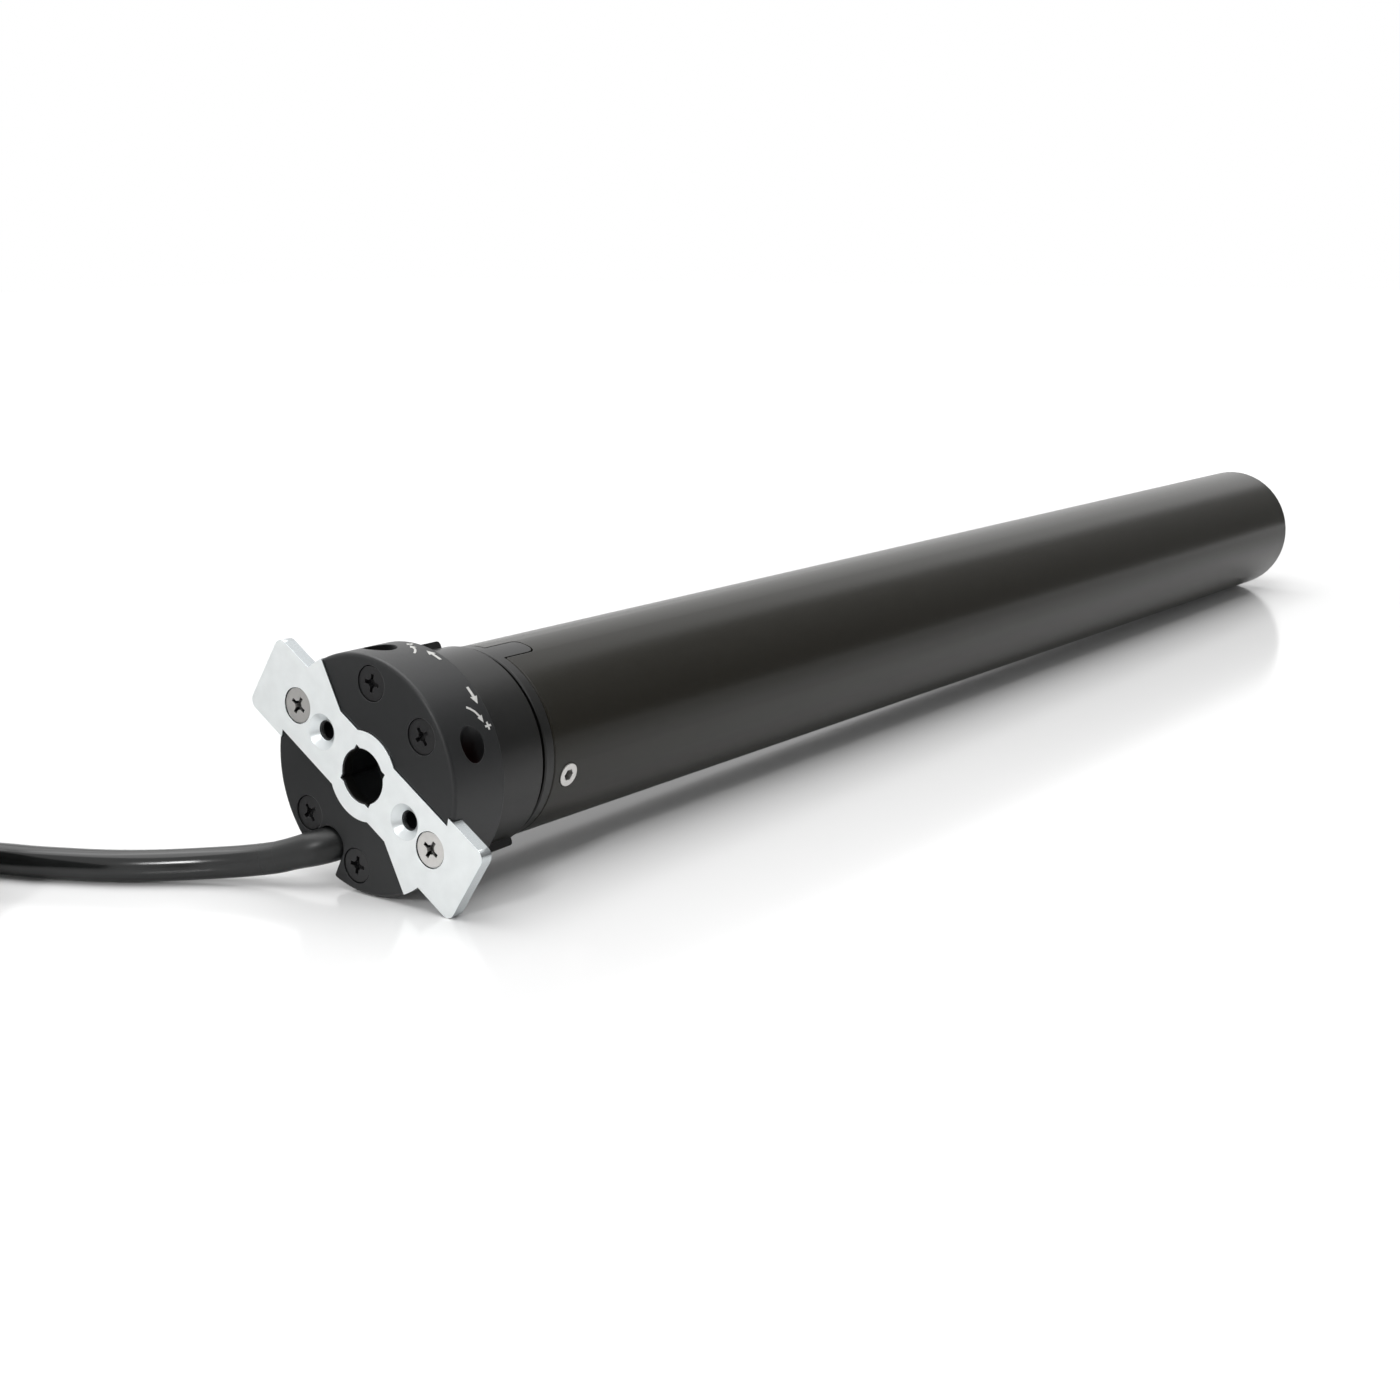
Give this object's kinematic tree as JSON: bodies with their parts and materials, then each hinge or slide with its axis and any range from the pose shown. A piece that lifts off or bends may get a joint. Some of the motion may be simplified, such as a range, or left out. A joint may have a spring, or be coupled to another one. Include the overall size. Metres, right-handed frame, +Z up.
{
  "type": "tubular roller blind motor",
  "caption": "Tubular motor for a roller blind: round head with a fixing plate and limit adjusters, black tube with motor, brake and planetary gearbox, square drive end, supply cable.",
  "frame": {"origin": "centre of the pin hole on the fixing plate's front face, on the motor axis", "axes": "+X along the motor axis towards the drive end, +Z up as the motor lies on a table, +Y to the side where the cable leaves"},
  "size_m": [0.6347, 0.1728, 0.0549],
  "materials": {
    "zinc": "white zinc plated steel",
    "screw_steel": "bright zinc plated steel",
    "black_screw": "black oxide",
    "head_plastic": "fine matte moulding",
    "ring_plastic": "satin moulding",
    "frame_plastic": "matte moulding",
    "ivory_plastic": "acetal",
    "red_plastic": "acetal",
    "switch_plastic": "moulded",
    "tube_paint": "satin black steel tube",
    "capacitor_film": "plain moulded can",
    "dark_rubber": "soft moulding",
    "lead_pvc": "soft insulation",
    "die_cast": "die cast",
    "lamination": "stacked steel sheet",
    "copper": "varnished copper wire",
    "steel": "ground steel",
    "lining": "friction lining",
    "bronze": "sintered bronze",
    "cable_pvc": "glossy black sheath"
  },
  "bodies": {
    "housing": {"fixing_plate": "zinc", "plate_screws": "screw_steel", "head_cup": "head_plastic", "head_screws": "black_screw", "limit_frame": "frame_plastic", "counter_axle": "steel", "limit_switch_up": "switch_plastic", "limit_switch_down": "switch_plastic", "limit_cover": "frame_plastic", "tube_plug": "ring_plastic", "tube_screws": "screw_steel", "motor_tube": "tube_paint", "capacitor": "capacitor_film", "capacitor_rings": "dark_rubber", "motor_leads": "lead_pvc", "rear_shield": "die_cast", "rear_bearing": "steel", "stator_core": "lamination", "stator_windings": "copper", "front_shield": "die_cast", "front_bearing": "steel", "brake_lining": "lining", "brake_plate": "steel", "ring_gear": "steel", "output_bushes": "bronze", "gearbox_cover": "die_cast", "cable_elbow": "cable_pvc", "cable_lead": "cable_pvc", "cable_coil": "cable_pvc", "cable_tail": "cable_pvc", "coil_tie": "cable_pvc", "cable_cores": "lead_pvc", "core_ferrules": "screw_steel"},
    "limit_ring": {"limit_ring": "ring_plastic"},
    "limit_pinion": {"limit_pinion": "ivory_plastic"},
    "counter_wheel_up": {"counter_wheel_up": "ivory_plastic"},
    "counter_wheel_down": {"counter_wheel_down": "red_plastic"},
    "limit_screw_up": {"limit_screw_up": "ivory_plastic"},
    "limit_screw_down": {"limit_screw_down": "red_plastic"},
    "adjuster_wheel_up": {"adjuster_wheel_up": "ivory_plastic"},
    "adjuster_wheel_down": {"adjuster_wheel_down": "red_plastic"},
    "rotor": {"rotor_core": "lamination", "rotor_cage": "die_cast", "rotor_shaft": "steel", "brake_spring": "steel"},
    "brake_disc": {"brake_disc": "steel"},
    "stage_1_carrier": {"stage_1_carrier": "steel"},
    "stage_2_carrier": {"stage_2_carrier": "steel"},
    "output": {"output_shaft": "steel", "output_circlip": "steel"},
    "stage_1_planet_a": {"stage_1_planet_a": "steel"},
    "stage_1_planet_b": {"stage_1_planet_b": "steel"},
    "stage_1_planet_c": {"stage_1_planet_c": "steel"},
    "stage_2_planet_a": {"stage_2_planet_a": "steel"},
    "stage_2_planet_b": {"stage_2_planet_b": "steel"},
    "stage_2_planet_c": {"stage_2_planet_c": "steel"},
    "stage_3_planet_a": {"stage_3_planet_a": "steel"},
    "stage_3_planet_b": {"stage_3_planet_b": "steel"},
    "stage_3_planet_c": {"stage_3_planet_c": "steel"}
  },
  "joints": [
    {"name": "limit_ring_spin", "type": "hinge", "parent": "housing", "child": "limit_ring", "pos_m": [0, 0, 0], "axis": [1, 0, 0], "continuous": true},
    {"name": "limit_pinion_spin", "type": "hinge", "parent": "housing", "child": "limit_pinion", "pos_m": [0, -0.00826, 0.01252], "axis": [1, 0, 0], "continuous": true},
    {"name": "counter_wheel_up_spin", "type": "hinge", "parent": "housing", "child": "counter_wheel_up", "pos_m": [0, -0.00679, -0.0006], "axis": [1, 0, 0], "continuous": true},
    {"name": "counter_wheel_down_spin", "type": "hinge", "parent": "housing", "child": "counter_wheel_down", "pos_m": [0, -0.00679, -0.0006], "axis": [1, 0, 0], "continuous": true},
    {"name": "limit_screw_up_spin", "type": "hinge", "parent": "housing", "child": "limit_screw_up", "pos_m": [0.008, 0.01319, 0.00871], "axis": [0, -0.551, 0.8345], "continuous": true},
    {"name": "adjuster_wheel_up_spin", "type": "hinge", "parent": "housing", "child": "adjuster_wheel_up", "pos_m": [0, 0.00366, 0.0126], "axis": [1, 0, 0], "continuous": true},
    {"name": "limit_screw_down_spin", "type": "hinge", "parent": "housing", "child": "limit_screw_down", "pos_m": [0.008, -0.01319, -0.00871], "axis": [0, -0.551, 0.8345], "continuous": true},
    {"name": "adjuster_wheel_down_spin", "type": "hinge", "parent": "housing", "child": "adjuster_wheel_down", "pos_m": [0, -0.01303, 0.00158], "axis": [1, 0, 0], "continuous": true},
    {"name": "rotor_spin", "type": "hinge", "parent": "housing", "child": "rotor", "pos_m": [0, 0, 0], "axis": [1, 0, 0], "continuous": true},
    {"name": "brake_disc_slide", "type": "slide", "parent": "rotor", "child": "brake_disc", "axis": [1, 0, 0], "range_m": [-0.0005, 0]},
    {"name": "stage_1_carrier_spin", "type": "hinge", "parent": "housing", "child": "stage_1_carrier", "pos_m": [0, 0, 0], "axis": [1, 0, 0], "continuous": true},
    {"name": "stage_1_planet_a_spin", "type": "hinge", "parent": "stage_1_carrier", "child": "stage_1_planet_a", "pos_m": [0, 0.00895, 0.00591], "axis": [1, 0, 0], "continuous": true},
    {"name": "stage_1_planet_b_spin", "type": "hinge", "parent": "stage_1_carrier", "child": "stage_1_planet_b", "pos_m": [0, -0.00959, 0.0048], "axis": [1, 0, 0], "continuous": true},
    {"name": "stage_1_planet_c_spin", "type": "hinge", "parent": "stage_1_carrier", "child": "stage_1_planet_c", "pos_m": [0, 0.00064, -0.01071], "axis": [1, 0, 0], "continuous": true},
    {"name": "stage_2_carrier_spin", "type": "hinge", "parent": "housing", "child": "stage_2_carrier", "pos_m": [0, 0, 0], "axis": [1, 0, 0], "continuous": true},
    {"name": "stage_2_planet_a_spin", "type": "hinge", "parent": "stage_2_carrier", "child": "stage_2_planet_a", "pos_m": [0, 0.00895, 0.00591], "axis": [1, 0, 0], "continuous": true},
    {"name": "stage_2_planet_b_spin", "type": "hinge", "parent": "stage_2_carrier", "child": "stage_2_planet_b", "pos_m": [0, -0.00959, 0.0048], "axis": [1, 0, 0], "continuous": true},
    {"name": "stage_2_planet_c_spin", "type": "hinge", "parent": "stage_2_carrier", "child": "stage_2_planet_c", "pos_m": [0, 0.00064, -0.01071], "axis": [1, 0, 0], "continuous": true},
    {"name": "output_spin", "type": "hinge", "parent": "housing", "child": "output", "pos_m": [0, 0, 0], "axis": [1, 0, 0], "continuous": true},
    {"name": "stage_3_planet_a_spin", "type": "hinge", "parent": "output", "child": "stage_3_planet_a", "pos_m": [0, 0.00895, 0.00591], "axis": [1, 0, 0], "continuous": true},
    {"name": "stage_3_planet_b_spin", "type": "hinge", "parent": "output", "child": "stage_3_planet_b", "pos_m": [0, -0.00959, 0.0048], "axis": [1, 0, 0], "continuous": true},
    {"name": "stage_3_planet_c_spin", "type": "hinge", "parent": "output", "child": "stage_3_planet_c", "pos_m": [0, 0.00064, -0.01071], "axis": [1, 0, 0], "continuous": true}
  ],
  "couplings": [
    {"joint": "limit_pinion_spin", "follows": "limit_ring_spin", "ratio": 4.125},
    {"joint": "counter_wheel_up_spin", "follows": "limit_ring_spin", "ratio": -2.3571},
    {"joint": "counter_wheel_down_spin", "follows": "limit_ring_spin", "ratio": -2.3571},
    {"joint": "adjuster_wheel_up_spin", "follows": "limit_screw_up_spin", "ratio": 0.0625},
    {"joint": "adjuster_wheel_down_spin", "follows": "limit_screw_down_spin", "ratio": -0.0625},
    {"joint": "stage_1_carrier_spin", "follows": "rotor_spin", "ratio": 0.18182},
    {"joint": "stage_1_planet_a_spin", "follows": "rotor_spin", "ratio": -0.46753},
    {"joint": "stage_1_planet_b_spin", "follows": "rotor_spin", "ratio": -0.46753},
    {"joint": "stage_1_planet_c_spin", "follows": "rotor_spin", "ratio": -0.46753},
    {"joint": "stage_2_carrier_spin", "follows": "rotor_spin", "ratio": 0.033058},
    {"joint": "stage_2_planet_a_spin", "follows": "rotor_spin", "ratio": -0.085006},
    {"joint": "stage_2_planet_b_spin", "follows": "rotor_spin", "ratio": -0.085006},
    {"joint": "stage_2_planet_c_spin", "follows": "rotor_spin", "ratio": -0.085006},
    {"joint": "output_spin", "follows": "rotor_spin", "ratio": 0.0060105},
    {"joint": "stage_3_planet_a_spin", "follows": "rotor_spin", "ratio": -0.015456},
    {"joint": "stage_3_planet_b_spin", "follows": "rotor_spin", "ratio": -0.015456},
    {"joint": "stage_3_planet_c_spin", "follows": "rotor_spin", "ratio": -0.015456}
  ]
}
